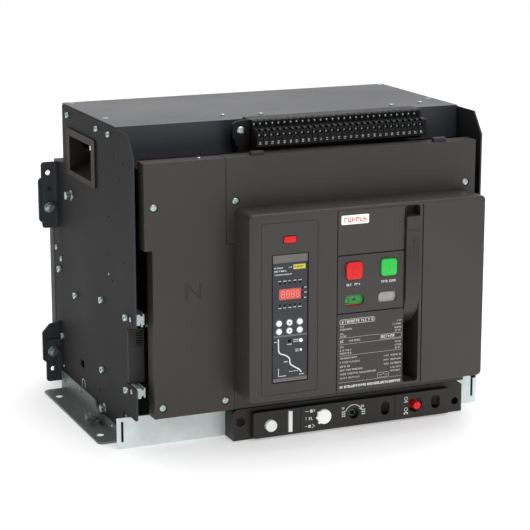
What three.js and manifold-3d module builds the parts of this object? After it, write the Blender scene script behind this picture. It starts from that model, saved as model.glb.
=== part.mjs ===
// Draw-out (withdrawable) four-pole air circuit breaker in its cradle.
// Millimetres, +Z up. Front of the breaker faces -Y. Left/right are as seen from the front.
// The origin is on the floor plane, under the middle of the overall box.
// Pieces are laid out in a cradle frame: x = 0 on the outer face of the left side plate,
// y = 0 on the front edge of the side plates, z = 0 on the mounting surface; the last group
// moves that frame to the origin.
import * as THREE from 'three';
import { mergeVertices } from 'three/addons/utils/BufferGeometryUtils.js';
import Module from 'manifold-3d';

// ---- driving dimensions -------------------------------------------------------------
const W = 525.56;            // outside width over the two side plates
const H = 439;               // overall height
const T = 2.5;               // side plate sheet
const FLANGE_X = 35;         // base rail flange reach outside the side plate
const PLATE_BACK = 370;      // rear edge of the side plate's middle
const EAR_Y = 345;           // plane of the folded mounting ears
const COVER_Y = -11.2;       // front face of the breaker's front covers
const FASCIA_Y = -62.6;      // front face of the raised fascia
const POLE_PITCH = 125;      // distance between pole centres
const POLE_X = [0, 1, 2, 3].map((i) => W / 2 + (i - 1.5) * POLE_PITCH);
const TERM_Z = [290, 140];   // centre heights of the upper and lower main terminals
const TERM_W = 90, TERM_T = 20;
const TERM_BACK = 442;       // rear end of the terminal bars
const RACK_TRAVEL = 62;      // connected to disconnected travel of the breaker
const HANDLE_PIVOT = [3, 94]; // y, z of the charging handle pivot
const SHAFT = [72, 170];     // y, z of the main (pole) shaft
const CAM = [40, 262];       // y, z of the ratchet and cam shaft
const RACK = { x: 323, z: 21 }; // racking screw axis

// ---- solid helpers ------------------------------------------------------------------
const wasm = await Module();
wasm.setup();

function solid(geometry) {
  const g = geometry.clone();
  for (const name of Object.keys(g.attributes)) if (name !== 'position') g.deleteAttribute(name);
  const m = mergeVertices(g, 1e-4);
  const mesh = new wasm.Mesh({
    numProp: 3,
    vertProperties: new Float32Array(m.attributes.position.array),
    triVerts: new Uint32Array(m.index.array),
  });
  return new wasm.Manifold(mesh);
}
function geometryOf(manifold) {
  const mesh = manifold.getMesh();
  const g = new THREE.BufferGeometry();
  g.setAttribute('position', new THREE.BufferAttribute(new Float32Array(mesh.vertProperties), 3));
  g.setIndex(new THREE.BufferAttribute(new Uint32Array(mesh.triVerts), 1));
  g.computeVertexNormals();
  return g;
}
const P = (pts) => pts.map(([a, b]) => new THREE.Vector2(a, b));
function extrude(outline, holes, depth, placeMatrix) {
  const shape = new THREE.Shape(P(outline));
  for (const h of holes || []) shape.holes.push(new THREE.Path(P(h)));
  const g = new THREE.ExtrudeGeometry(shape, { depth, bevelEnabled: false, curveSegments: 8 });
  g.applyMatrix4(placeMatrix);
  return solid(g);
}
// outline in (y, z), drawn from x0 to x1
function prismX(outline, x0, x1, holes) {
  const m = new THREE.Matrix4().set(0, 0, 1, x0, 1, 0, 0, 0, 0, 1, 0, 0, 0, 0, 0, 1);
  return extrude(outline, holes, x1 - x0, m);
}
// outline in (x, z), drawn from y0 to y1
function prismY(outline, y0, y1, holes) {
  const m = new THREE.Matrix4().set(1, 0, 0, 0, 0, 0, -1, y1, 0, 1, 0, 0, 0, 0, 0, 1);
  return extrude(outline, holes, y1 - y0, m);
}
// outline in (x, z) with a rounded front edge of radius b; the back stays square
function prismYRound(outline, y0, y1, b) {
  const shape = new THREE.Shape(P(outline));
  const g = new THREE.ExtrudeGeometry(shape, { depth: y1 - y0 - b, bevelEnabled: true, bevelThickness: b, bevelSize: b, bevelOffset: -b, bevelSegments: 3, curveSegments: 8 });
  g.applyMatrix4(new THREE.Matrix4().set(1, 0, 0, 0, 0, 0, -1, y1, 0, 1, 0, 0, 0, 0, 0, 1));
  return solid(g).intersect(box(-600, 1200, y0 - 1, y1, -600, 1200));
}
// outline in (x, y), drawn from z0 to z1
function prismZ(outline, z0, z1, holes) {
  return extrude(outline, holes, z1 - z0, new THREE.Matrix4().makeTranslation(0, 0, z0));
}
function box(x0, x1, y0, y1, z0, z1) {
  const g = new THREE.BoxGeometry(x1 - x0, y1 - y0, z1 - z0);
  g.translate((x0 + x1) / 2, (y0 + y1) / 2, (z0 + z1) / 2);
  return solid(g);
}
// cylinder along an axis from a to b; c is the other two coordinates in X, Y, Z order
function cyl(axis, c, r, a, b, n = 16, r2 = r) {
  const g = new THREE.CylinderGeometry(r2, r, b - a, n);
  if (axis === 'z') { g.rotateX(Math.PI / 2); g.translate(c[0], c[1], (a + b) / 2); }
  if (axis === 'y') { g.translate(c[0], (a + b) / 2, c[1]); }
  if (axis === 'x') { g.rotateZ(-Math.PI / 2); g.translate((a + b) / 2, c[0], c[1]); }
  return solid(g);
}
function rr(x0, x1, z0, z1, r, n = 3) { // rounded rectangle outline
  const pts = [];
  const arc = (cx, cz, a0) => {
    for (let i = 0; i <= n; i++) {
      const a = a0 + (Math.PI / 2) * (i / n);
      pts.push([cx + r * Math.cos(a), cz + r * Math.sin(a)]);
    }
  };
  arc(x1 - r, z1 - r, 0); arc(x0 + r, z1 - r, Math.PI / 2);
  arc(x0 + r, z0 + r, Math.PI); arc(x1 - r, z0 + r, 1.5 * Math.PI);
  return pts;
}
const rect = (x0, x1, z0, z1) => [[x0, z0], [x1, z0], [x1, z1], [x0, z1]];
function ring(cx, cz, r, n = 12) {
  return Array.from({ length: n }, (_, i) => [cx + r * Math.cos((2 * Math.PI * i) / n), cz + r * Math.sin((2 * Math.PI * i) / n)]);
}
const union = (...s) => s.reduce((a, b) => a.add(b));
const cut = (a, ...s) => s.reduce((p, q) => p.subtract(q), a);
const mirrored = (s) => { // mirror image on the other side of the cradle
  const g = geometryOf(s);
  const p = g.attributes.position;
  for (let i = 0; i < p.count; i++) p.setX(i, W - p.getX(i));
  const ix = g.index.array;
  for (let i = 0; i < ix.length; i += 3) { const t = ix[i]; ix[i] = ix[i + 1]; ix[i + 1] = t; }
  return solid(g);
};

// ---- finishes -----------------------------------------------------------------------
const FINISH = {
  plate: ['#3b3a3c', 0.55, 0.1], cover: ['#4a4846', 0.6, 0.0], topsheet: ['#63656a', 0.5, 0.1],
  zinc: ['#c9d3d0', 0.4, 0.7], rear: ['#2a2928', 0.7, 0.0], thermoset: ['#4a2623', 0.7, 0.0],
  panel: ['#3c3a38', 0.6, 0.0], slate: ['#45474d', 0.5, 0.0], copper: ['#b9bcbb', 0.35, 0.9],
  red: ['#dd2a25', 0.45, 0.0], green: ['#3fc958', 0.45, 0.0], white: ['#e9ebe9', 0.5, 0.0],
  steel: ['#9aa0a0', 0.35, 0.9], black: ['#1d1d1e', 0.6, 0.0], grip: ['#2a2522', 0.7, 0.0],
  arc: ['#6b3a2f', 0.75, 0.0], spring: ['#7f8484', 0.35, 0.9],
};
const cradleFrame = new THREE.Group();
function add(name, s, finish) {
  const [color, roughness, metalness] = FINISH[finish];
  const mesh = new THREE.Mesh(geometryOf(s), new THREE.MeshStandardMaterial({ color, roughness, metalness }));
  mesh.name = name;
  cradleFrame.add(mesh);
}
function addPair(name, s, finish) {
  add(name + '_left', s, finish);
  add(name + '_right', mirrored(s), finish);
}

// ======================= cradle =======================================================
// Side plate: one sheet with a folded top flange and two ears folded outwards.
const plateOutline = [
  [0, 50], [1, 47.6], [3.5, 46.6], [57, 46.6], [57, 3.4], [EAR_Y, 3.4], [EAR_Y, 84], [352, 90], [PLATE_BACK, 98],
  [PLATE_BACK, 238], [362, 246], [EAR_Y, 252], [EAR_Y, 349.5], [330, 352], [312, 353.5], [312, H],
  [23, H], [0, 409], [0, 178], [35, 168.4], [35, 91.5], [0, 91.5],
];
const gripOpening = rect(160, 279, 347, 404.5);
const plateHoles = [
  gripOpening, rect(231, 250, 59, 70), rect(76.7, 78.3, 393, 406),
  ring(38.7, 396.3, 2.2, 8), ring(133, 370.3, 1.8, 8), ring(58, 372, 1.8, 8), ring(103, 312, 1.8, 8),
  ring(103, 260.6, 1.8, 8), ring(42, 260.5, 1.8, 8), ring(91.7, 223.8, 1.8, 8), ring(322.5, 30, 2.5, 8),
  ring(161.4, 46.8, 2.2, 8), ring(113, 69.5, 1.8, 8),
];
const upperEar = prismY(rr(-24.5, 10, 249.6, 349.4, 4, 2), EAR_Y, EAR_Y + T, [ring(-14.3, 333.2, 3.8, 12), ring(-12.6, 309.3, 3.2, 10)]);
const lowerEar = prismY(rr(-24.2, 10, 10.5, 76.2, 4, 2), EAR_Y, EAR_Y + T, [ring(-14.2, 30.4, 3.8, 12)]);
const earClip = box(-40, T, 300, 400, 0, 400);
const sidePlate = union(
  prismX(plateOutline, 0, T, plateHoles),
  upperEar.intersect(earClip), lowerEar.intersect(earClip),
  // gussets in the folds
  prismZ([[0.4, EAR_Y + 0.6], [0, EAR_Y - 6], [-1.6, EAR_Y - 1.6], [-6, EAR_Y], [-6, EAR_Y + 0.6]], 254, 345),
  prismZ([[0.4, EAR_Y + 0.6], [0, EAR_Y - 6], [-1.6, EAR_Y - 1.6], [-6, EAR_Y], [-6, EAR_Y + 0.6]], 14, 72),
  // flange under the top cover
  prismZ([[0.5, 74.4], [30, 78], [30, 306], [0.5, 311.6]], 436.3, 438.7),
  // stiffener across the back of the plate
  prismY([[0.5, 356], [39.5, 356], [39.5, 424], [32, 431], [0.5, 431]], 307, 309.5, []),
);
addPair('cradle_side_plate', sidePlate, 'plate');

// Hand-grip moulding set into the window of each side plate.
const gripPocket = [[-3.5, 349], [4.5, 349.6], [33.4, 367.6], [33.4, 398.5], [-3.5, 400]]; // (x, z)
const gripWell = cut(
  union(
    prismX(rr(154.8, 284.5, 341.5, 410, 4, 3), -2.6, -0.3, []),
    prismX(rr(162, 277, 347.4, 404.1, 4, 2), -0.6, 36, []),
  ),
  prismY(gripPocket, 171.5, 271.5, []),
  prismY([[10.4, 394.5], [22.5, 378], [33.4, 373.8], [33.4, 398.4], [10.4, 398.4]], 270, 290, []),
);
addPair('hand_grip', gripWell, 'grip');

// Base rail: zinc angle with fixing holes, standing on the mounting surface.
const baseRail = union(
  prismZ([[-0.3, 60], [-0.3, 329], [-29, 329], [-35, 323], [-35, 64], [-31, 60]], 0, 3,
    [ring(-22.7, 288, 5.2, 16), ring(-22.9, 91.5, 5.2, 16)]),
  prismX([[48, 0], [338, 0], [338, 26], [335, 29], [176, 29], [166, 18], [48, 16.5]], -3.3, -0.3, []),
  cyl('x', [146, 12.5], 5, -26, -0.6, 12),   // earthing stud
  cyl('x', [146, 12.5], 9, -8, -3, 12),
  cyl('x', [146, 12.5], 8, -20, -13, 6),
);
addPair('base_rail', baseRail, 'zinc');

// Cradle floor: one folded zinc sheet, with the front cross member standing up from it
// and an upstand at the back of the cross member that holds the racking screw.
const crossMember = union(
  prismY(rect(-18.2, W + 18.2, 0, 44.5), 30.2, 32.2, [rect(-12.4, -8.6, 9.8, 39), rect(W + 8.6, W + 12.4, 9.8, 39),
    rect(300, 346, 8, 34)]),
  box(-3, W + 3, 31, 47.6, 0, 2), box(3.2, W - 3.2, 46, 60, 0, 6),
);

const floorPlate = union(
  crossMember,
  box(3.2, W - 3.2, 58, 340, 3.4, 6),
  box(3.2, 5.7, 58, 340, 3.4, 40), box(W - 5.7, W - 3.2, 58, 340, 3.4, 40),
  box(296, 346, 58, 61, 5, 34).subtract(cyl('y', [RACK.x, RACK.z], 6.4, 50, 70, 16)),
);
add('cradle_floor_plate', floorPlate, 'zinc');

// Top cover with a front flange.
const topCover = union(
  box(1.9, W - 1.9, 71.6, 316, 439.2, 441.2),
  box(T + 0.3, W - T - 0.3, 71.6, 74.1, 394.6, 440),
  box(T + 0.3, W - T - 0.3, 313.5, 316, 424, 440),
);
add('cradle_top_cover', topCover, 'topsheet');

// Rear insulating base with eight contact pockets.
let rearBase = union(
  box(T + 0.7, W - T - 0.7, 352, 376, 14, 346),
  box(-0.5, W + 0.5, 370.4, 390, 14, 346),
  prismY([[-28, 44], [-23, 40], [12, 40], [12, 104], [3, 104], [-16.6, 99.4], [-28, 87]], 347.8, 353, []),
  prismY([[W + 28, 44], [W + 28, 87], [W + 16.6, 99.4], [W - 3, 104], [W - 12, 104], [W - 12, 40], [W + 23, 40]], 347.8, 353, []),
  prismY([[-28, 262], [-25, 258], [12, 258], [12, 325], [-25, 325], [-28, 321]], 347.8, 353, []),
  prismY([[W + 28, 262], [W + 28, 321], [W + 25, 325], [W - 12, 325], [W - 12, 258], [W + 25, 258]], 347.8, 353, []),
);
for (const x of POLE_X) {
  for (const z of TERM_Z) {
    rearBase = cut(rearBase, box(x - 50, x + 50, 351, 376, z - 17, z + 17),
      box(x - TERM_W / 2 - 0.3, x + TERM_W / 2 + 0.3, 375, 391, z - TERM_T / 2 - 0.3, z + TERM_T / 2 + 0.3));
  }
  rearBase = cut(rearBase, box(x + POLE_PITCH / 2 - 4, x + POLE_PITCH / 2 + 4, 383, 391, 40, 330).intersect(box(0, W - 20, 380, 392, 0, 400)));
}
rearBase = cut(rearBase, box(-5, 9, 369, 391, 300, 350), box(W - 9, W + 5, 369, 391, 300, 350));
// keep the base clear of the side plates' middle and of their ears
rearBase = cut(rearBase, box(-0.3, T + 0.35, 347, PLATE_BACK + 0.4, 84, 253), box(W - T - 0.35, W + 0.3, 347, PLATE_BACK + 0.4, 84, 253));
add('cradle_rear_base', rearBase, 'rear');

// Main terminals: tinned copper bars through the rear base.
const POLES = ['n', 'a', 'b', 'c'];
POLE_X.forEach((x, i) => {
  ['upper', 'lower'].forEach((row, k) => {
    const z = TERM_Z[k];
    let bar = prismZ(rr(x - TERM_W / 2, x + TERM_W / 2, 354, TERM_BACK, 3, 1), z - TERM_T / 2, z + TERM_T / 2,
      [ring(x - 22, 418, 6.5, 16), ring(x + 22, 418, 6.5, 16)]);
    bar = cut(bar, box(x - 60, x + 60, 350, 374, z + 5, z + 20), box(x - 60, x + 60, 350, 374, z - 20, z - 5));
    add(`terminal_${row}_${POLES[i]}`, bar, 'copper');
  });
});

// Secondary terminal block in front of the top cover.
const CELLS = 28, CELL = 9.14, CELL_X0 = 191.2; // screw cells in two tiers
const blockProfile = [[20, 409.6], [20, 431.6], [23, 433.2], [38, 433.2], [38, 442.6], [40, 444], [71.3, 444], [71.3, 404], [34, 404], [34, 409.6]];
let secondary = union(
  prismX(blockProfile, 186.2, 446.6, []),
  prismY([[161.2, 419.5], [161.2, 439.2], [167, 442], [176, 443.6], [190, 443.6], [190, 408.5], [165.6, 408.5], [165.6, 415.6]], 46, 50, [ring(173, 429.6, 3.2, 12)]),
  box(168, 188, 49, 71.3, 408.6, 420), box(170, 188, 48, 71.3, 399, 410),
);
for (let i = 0; i <= CELLS; i++) { // grooves between the cells
  const x = CELL_X0 + (i - 0.5) * CELL;
  secondary = cut(secondary, box(x - 0.55, x + 0.55, 18, 22, 417.5, 434), box(x - 0.55, x + 0.55, 36, 44, 433.2, 445));
}
for (let i = 0; i < CELLS; i++) { // recessed cell faces: a pocket in the upper tier, a notch in the lower tier's top edge
  const x = CELL_X0 + i * CELL;
  secondary = cut(secondary, box(x - 3, x + 3.2, 37, 39.8, 434.4, 441.4), box(x - 3.2, x + 1.4, 19, 29, 429.6, 434));
}
for (let i = 0; i < CELLS; i++) { // screw wells and the wire entries below them
  const x = CELL_X0 + i * CELL;
  secondary = cut(secondary, cyl('y', [x, 425.2], 2.7, 19, 23.6, 8), cyl('y', [x, 437.6], 2.7, 37, 41.6, 8),
    box(x - 3.2, x + 3.2, 33, 38, 405, 410.5));
}
add('secondary_terminal_block', secondary, 'black');

// Rail guides on the inside of each plate.
const guideUpper = [[2.8, 180], [2.8, 195], [9, 195], [10.5, 192.6], [13.6, 192.6], [13.6, 195.6], [15.6, 195.6], [15.6, 180.6], [13.6, 180.6], [13.6, 183.4], [10.5, 183.4], [9, 180]];
const guideLower = [[2.8, 77], [2.8, 91.6], [9, 91.6], [10.5, 88.6], [13.6, 88.6], [13.6, 91.6], [15.6, 91.6], [15.6, 77.6], [13.6, 77.6], [13.6, 80.6], [10.5, 80.6], [9, 77]];
const guide = union(
  prismY(guideUpper, 6, 338, []), prismY(guideLower, 6, 338, []),
  box(2.8, 4.2, 42, 338, 79, 193),
  box(11, 13.6, 6, 9, 177.6, 184),
);
addPair('rail_guide', guide, 'zinc');

// ---- racking gear -------------------------------------------------------------------
const raised = rr(168.2, 476.8, 3, 40.6, 2.5, 2);
const panelBase = [[141.5, 0.4], [502, 0.4], [502, 41], [494, 46.8], [146, 45.6], [141.5, 41]];
const stadium = (x0, x1, z0, z1) => rr(x0, x1, z0, z1, (x1 - x0) / 2 - 0.05, 4);
const rackingPanel = cut(
  union(prismY(panelBase, -0.5, 29.8, []), prismY(raised, -10, 0, [])),
  // hollow behind the face
  box(146, 497, 4, 30, 4.4, 40.5), box(172.5, 472.5, -6, 5, 6.4, 37),
  cyl('y', [193.8, 20.1], 9.2, -12, 0, 20),
  box(220.4, 227.4, -12, 6, 6.3, 38.3),
  cyl('y', [275.6, 23.2], 11, -12, 0, 24),
  cyl('y', [RACK.x, RACK.z], 8, -12, 0, 20),
  prismY(stadium(365.8, 379.7, 12.4, 33.2), -12, 0, []), prismY(stadium(447.2, 461.3, 12.5, 33.3), -12, 0, []),
  cyl('y', [421, 22.6], 11.2, -12, 0, 24),
  cyl('y', [152.3, 27.3], 6.7, -2, 6, 16), cyl('y', [491.2, 16.5], 5.5, -2, 6, 16),
  // step and parting lines on the face
  box(239.8, 240.6, -11, -9.4, 3, 41), box(387.9, 388.7, -11, -9.4, 3, 41),
);
add('racking_panel', rackingPanel, 'panel');

const rackingScrew = union(
  cyl('y', [RACK.x, RACK.z], 5.6, -4, 40, 16).subtract(box(RACK.x - 2.6, RACK.x + 2.6, -5, 6, RACK.z - 2.6, RACK.z + 2.6)),
  cyl('y', [RACK.x, RACK.z], 9, 35, 42, 20),
  cyl('y', [RACK.x, RACK.z], 5.9, 41, 200, 16),
);
add('racking_screw', rackingScrew, 'steel');
// Nut bar that carries the two racking dogs; it draws the breaker in and out.
const nutBar = union(
  box(RACK.x - 13, RACK.x + 13, 168, 188, 10.4, 34),
  box(120, 405, 170, 186, 12.4, 30),
  box(120, 130, 170, 186, 28, 51.4), box(395, 405, 170, 186, 28, 51.4),
).subtract(cyl('y', [RACK.x, RACK.z], 6.3, 160, 190, 16));
add('racking_nut_bar', nutBar, 'steel');
const KNOB = [275.6, 23.2];
const knobTooth = (deg) => cyl('y', [KNOB[0] + 11 * Math.cos((deg * Math.PI) / 180), KNOB[1] + 11 * Math.sin((deg * Math.PI) / 180)], 1.7, -13.1, -10.4, 10);
const knob = union(
  cyl('y', KNOB, 10.4, -13.4, -6.6, 28), cyl('y', KNOB, 4, -7, 22, 12),
  knobTooth(142), knobTooth(184), knobTooth(226), // three indexing teeth
);
add('position_knob', knob, 'white');
add('release_button', union(cyl('y', [421, 22.6], 5.7, -16.4, 0, 20), cyl('y', [421, 22.6], 7.2, -1.4, 1.4, 20), cyl('y', [421, 22.6], 3, 0, 18, 10)), 'red');
add('padlock_tab', prismX([[-12, 7], [22, 7], [22, 37.6], [-12, 37.6]], 221.2, 226.6, [ring(6, 22, 3.4, 12)]), 'zinc');
add('lock_plunger', union(cyl('y', [193.8, 20.1], 8.4, -14.6, -2, 24), cyl('y', [193.8, 20.1], 4, -3, 20, 12)), 'zinc');

// Safety shutters in front of the contact pockets, open while the breaker is connected.
function shutter(z0, z1) {
  return union(box(8, W - 8, 342, 345, z0, z1), box(30, 44, 338, 342.6, z0 + 4, z1 - 4), box(W - 44, W - 30, 338, 342.6, z0 + 4, z1 - 4));
}
add('shutter_upper', shutter(320.4, 345), 'rear');
add('shutter_lower', shutter(85, 109.6), 'rear');

// Extension rails with their pull handles.
const rail = union(box(15.9, 18.4, 35.4, 330, 100, 168), box(6, 18.4, 35.4, 330, 100, 102.5), box(6, 18.4, 35.4, 330, 165.5, 168));
addPair('extension_rail', rail, 'zinc');
let handlePlate = prismY(rr(0.3, 23.6, 92.4, 168.2, 2, 2), 32, 34.7, []);
for (let i = 0; i < 7; i++) handlePlate = union(handlePlate, box(2.4, 21.5, 31.2, 32.4, 143 + 3.4 * i, 144.7 + 3.4 * i));
addPair('rail_handle', handlePlate, 'black');

// ======================= breaker ======================================================
// Pole housing: thermoset block with four arc chambers and a slot for each contact lever.
let housing = union(
  box(24, W - 24, 100, 300, 52, 340),
  box(12.6, W - 12.6, 100, 300, 286, 344),
  box(38, W - 38, 100, 288, 286, 392),
  box(12.6, W - 12.6, 16.4, 101, 372, 392),
  // support feet that ride on the extension rails
  box(6.2, 25, 108, 138, 169, 177), box(6.2, 25, 256, 286, 169, 177),
  box(W - 25, W - 6.2, 108, 138, 169, 177), box(W - 25, W - 6.2, 256, 286, 169, 177),
  // lugs that the racking dogs push against
  box(118, 132, 150, 169.4, 47.6, 54), box(393, 407, 150, 169.4, 47.6, 54),
);
housing = cut(housing, box(24, W - 24, 60, 96, 372, 384));
for (const x of POLE_X) {
  housing = cut(housing,
    box(x - 34, x + 34, 118, 236, 230, 393),            // arc chamber
    box(x - 22, x + 22, 99, 190, 120, 232),             // lever slot
    box(x - 50, x + 50, 262, 301, TERM_Z[0] - 15, TERM_Z[0] + 15),
    box(x - 50, x + 50, 262, 301, TERM_Z[1] - 15, TERM_Z[1] + 15),
  );
}
add('pole_housing', housing, 'thermoset');

POLE_X.forEach((x, i) => {
  let chute = box(x - 33.4, x + 33.4, 118.6, 235.4, 250, 391.6);
  for (let k = 0; k < 5; k++) chute = cut(chute, box(x - 26, x + 26, 130 + k * 20, 142 + k * 20, 262, 393));
  add(`arc_chute_${POLES[i]}`, chute, 'arc');
});

// Finger-contact clusters that grip the terminal bars.
['upper', 'lower'].forEach((row, k) => {
  const z = TERM_Z[k];
  let bar = box(POLE_X[0] - 44, POLE_X[3] + 44, 301.4, 306, z - 13, z + 13);
  for (const x of POLE_X) {
    bar = union(bar,
      box(x - 44, x + 44, 268, 302, z - 11, z + 11),
      box(x - 42, x + 42, 305, 366, z + 5.4, z + 10.6), box(x - 42, x + 42, 305, 366, z - 10.6, z - 5.4));
    for (let j = -1; j <= 1; j++) bar = cut(bar, box(x + j * 21 - 1, x + j * 21 + 1, 312, 367, z - 12, z + 12));
  }
  add(`contact_cluster_${row}`, bar, 'copper');
});

// Main shaft with its contact levers.
let poleShaft = cyl('x', SHAFT, 14, 36, W - 36, 16);
for (const x of POLE_X) {
  poleShaft = union(poleShaft,
    prismX([[SHAFT[0] - 6, SHAFT[1] + 18], [SHAFT[0] - 10, SHAFT[1] - 6], [SHAFT[0] + 4, SHAFT[1] - 16], [150, 190], [152, 204], [144, 210]], x - 9, x + 9, []));
}
add('pole_shaft', poleShaft, 'steel');

// Cam and ratchet shaft turned by the charging handle.
let camShaft = union(cyl('x', CAM, 8, 372, 486, 14));
const teeth = [];
for (let i = 0; i < 20; i++) {
  const a = (2 * Math.PI * i) / 20, b = a + (2 * Math.PI) / 20 * 0.25;
  teeth.push([CAM[0] + 27 * Math.cos(a), CAM[1] + 27 * Math.sin(a)], [CAM[0] + 23 * Math.cos(b), CAM[1] + 23 * Math.sin(b)]);
}
camShaft = union(camShaft, prismX(teeth, 404, 412, []),
  prismX([[CAM[0] - 16, CAM[1] - 6], [CAM[0], CAM[1] - 18], [CAM[0] + 16, CAM[1] - 6], [CAM[0] + 22, CAM[1] + 14], [CAM[0], CAM[1] + 24], [CAM[0] - 16, CAM[1] + 10]], 440, 452, []));
add('ratchet_camshaft', camShaft, 'steel');

// Closing spring: a helical compression spring between two seats.
{
  const turns = 6, r = 17, y0 = 60, z0 = 262, x0 = 262, x1 = 350;
  class Helix extends THREE.Curve {
    getPoint(t, target = new THREE.Vector3()) {
      const a = 2 * Math.PI * turns * t;
      return target.set(x0 + (x1 - x0) * t, y0 + r * Math.cos(a), z0 + r * Math.sin(a));
    }
  }
  const wire = new THREE.Shape(P(ring(0, 0, 3.2, 5)));
  const g = new THREE.ExtrudeGeometry(wire, { extrudePath: new Helix(), steps: 60, bevelEnabled: false });
  const spring = union(solid(g), cyl('x', [y0, z0], 22, x0 - 6, x0 + 2.6, 16), cyl('x', [y0, z0], 22, x1 - 2.6, x1 + 6, 16));
  add('closing_spring', spring, 'spring');
}

// Front covers.
const screwWells = (list) => list.map(([x, z]) => cyl('y', [x, z], 6.3, COVER_Y - 1, COVER_Y + 1.5, 20));
const nCover = cut(
  union(
    prismY([[11.3, 285.3], [22.3, 285.3], [22.3, 50.5], [138.9, 50.5], [138.9, 285.3], [127.9, 285.3], [127.9, 403.6], [11.3, 403.6]], COVER_Y, COVER_Y + 2.7, []),
    box(11.3, 127.9, COVER_Y + 1, 12.6, 400.9, 403.6),
    box(11.3, 14, COVER_Y + 1, 12.6, 285.3, 402),
    box(22.3, 25, COVER_Y + 1, 12.6, 50.5, 286),
    box(11.3, 25, COVER_Y + 1, 12.6, 285.3, 288),
    box(22.3, 138.9, COVER_Y + 1, 12.6, 50.5, 53.2),
  ),
  ...screwWells([[24.7, 343.7], [34.1, 65.1], [125.9, 65.1]]),
);
add('neutral_pole_cover', nCover, 'cover');

const fX0 = 140.7, fX1 = 498.4, fZ0 = 72.7, fZ1 = 333.6;
const CR = 508.9, CL = 497.9; // right edges of the main cover, above and below the step
const mainCover = cut(
  union(
    prismY([[139.3, 51], [CL, 51], [CL, 285.3], [CR, 285.3], [CR, 403.6], [128.5, 403.6], [128.5, 285.9], [139.3, 285.9]], COVER_Y, COVER_Y + 2.7,
      [rect(152, 487, 84, 322)]),
    box(128.5, CR, COVER_Y + 1, 15.7, 400.9, 403.6),
    box(CR - 2.7, CR, COVER_Y + 1, 12.6, 285.3, 402),
    box(CL - 2.7, CL, COVER_Y + 1, 12.6, 51, 286),
    box(CL - 2.7, CR, COVER_Y + 1, 12.6, 285.3, 288),
    box(139.3, CL, COVER_Y + 1, 12.6, 51, 53.7),
    box(167.5, 185.5, -5.6, 2.2, 402, 408.4), box(445, 464, -5.6, 2.2, 402, 409.2),
  ),
  ...screwWells([[142, 343.7], [493.5, 344.2]]),
);
add('front_cover', mainCover, 'cover');

// Raised fascia.
const stepped = (x0, x1, z0, z1, r) => rr(x0, x1, z0, z1, r, 3);
let fascia = cut(
  prismYRound(rr(fX0, fX1, fZ0, fZ1, 6.5, 5), FASCIA_Y, COVER_Y - 0.3, 2.2),
  prismY(rr(fX0 + 3, fX1 - 3, fZ0 + 3, fZ1 - 3, 4, 3), FASCIA_Y + 3, COVER_Y + 1, []),
  prismY(rr(173, 227.3, 97.3, 276.9, 1.6, 2), FASCIA_Y - 1, FASCIA_Y + 4, []),       // trip unit window
  prismY(rr(189.5, 209.1, 291.1, 301.9, 2, 2), FASCIA_Y - 1, FASCIA_Y + 4, []),  // reset button
  prismY(rr(282, 306.8, 232.6, 257.6, 5, 4), FASCIA_Y - 1, FASCIA_Y + 4, []),  // off button
  prismY(rr(334.9, 359.7, 233, 257.8, 5, 4), FASCIA_Y - 1, FASCIA_Y + 4, []),  // on button
  prismY(rr(281, 311, 195, 210, 6.5, 3), FASCIA_Y - 1, FASCIA_Y + 4, []),          // contact window
  prismY(rr(333, 361, 195, 210, 5, 3), FASCIA_Y - 1, FASCIA_Y + 4, []),            // spring window
  prismY(rr(371.7, 395.6, 73.5 + 3, 329, 4.5, 3), FASCIA_Y - 1, FASCIA_Y + 4, []), // handle slot
  // engraved lines
  prismY(rr(157.2, 241.2, 81.1, 320.9, 4.4, 3), FASCIA_Y - 1, FASCIA_Y + 0.7, [rr(158, 240.4, 81.9, 320.1, 3.6, 3)]),
  box(269.5, 270.8, FASCIA_Y - 1, FASCIA_Y + 1.2, 73.6, 329.6),
  box(269.6, 372, FASCIA_Y - 1, FASCIA_Y + 0.8, 266, 268.4),
  box(269.6, 372, FASCIA_Y - 1, FASCIA_Y + 0.8, 184.1, 186.5),
  box(269.6, 372, FASCIA_Y - 1, FASCIA_Y + 0.8, 329, 329.8),
  box(399.5, 401.2, FASCIA_Y - 1, FASCIA_Y + 1.6, 73.6, 329.6),
);
// channel that lines the handle slot
fascia = union(fascia,
  box(368.4, 371.4, FASCIA_Y + 2.6, COVER_Y - 1, 75, 331), box(395.9, 398.8, FASCIA_Y + 2.6, COVER_Y - 1, 75, 331),
  box(368.4, 398.8, FASCIA_Y + 2.6, -41.5, 329.2, 331.2), box(371, 396.2, -44, -41.5, 205, 331),
);
add('front_fascia', fascia, 'cover');

// Trip unit module behind the window.
const KEY_X = [184.3, 199.7, 215], KEY_Z = [181, 169.5];
let trip = cut(
  union(box(162, 238, -51, 26, 84.5, 317), box(174.9, 226.4, -60.8, -50.5, 98.3, 275.8)),
  box(188, 211, -52, -42.2, 289.6, 303.2),
  ...KEY_X.flatMap((x) => KEY_Z.map((z) => cyl('y', [x, z], 4.4, -62, -57, 16))),
);
add('trip_unit', trip, 'slate');
let k = 0;
for (const z of KEY_Z) for (const x of KEY_X) {
  k += 1;
  add(`trip_key_${k}`, cyl('y', [x, z], 4, -61.9, -58.4, 16), 'white');
}
add('reset_button', union(prismYRound(rr(190.4, 208.2, 292, 301, 1.6, 2), -64, -46.4, 0.7), box(188.6, 209.8, -52, -46.6, 290.2, 302.6)), 'red');

const pushButton = (x0, x1, z0, z1) => union(
  prismYRound(rr(x0, x1, z0, z1, 4.8, 4), -66.4, -50, 1),
  box((x0 + x1) / 2 - 4, (x0 + x1) / 2 + 4, -50.4, -20, (z0 + z1) / 2 - 4, (z0 + z1) / 2 + 4));
add('off_button', pushButton(282.5, 306.3, 233.1, 257.1), 'red');
add('on_button', pushButton(335.4, 359.2, 233.5, 257.3), 'green');
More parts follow.
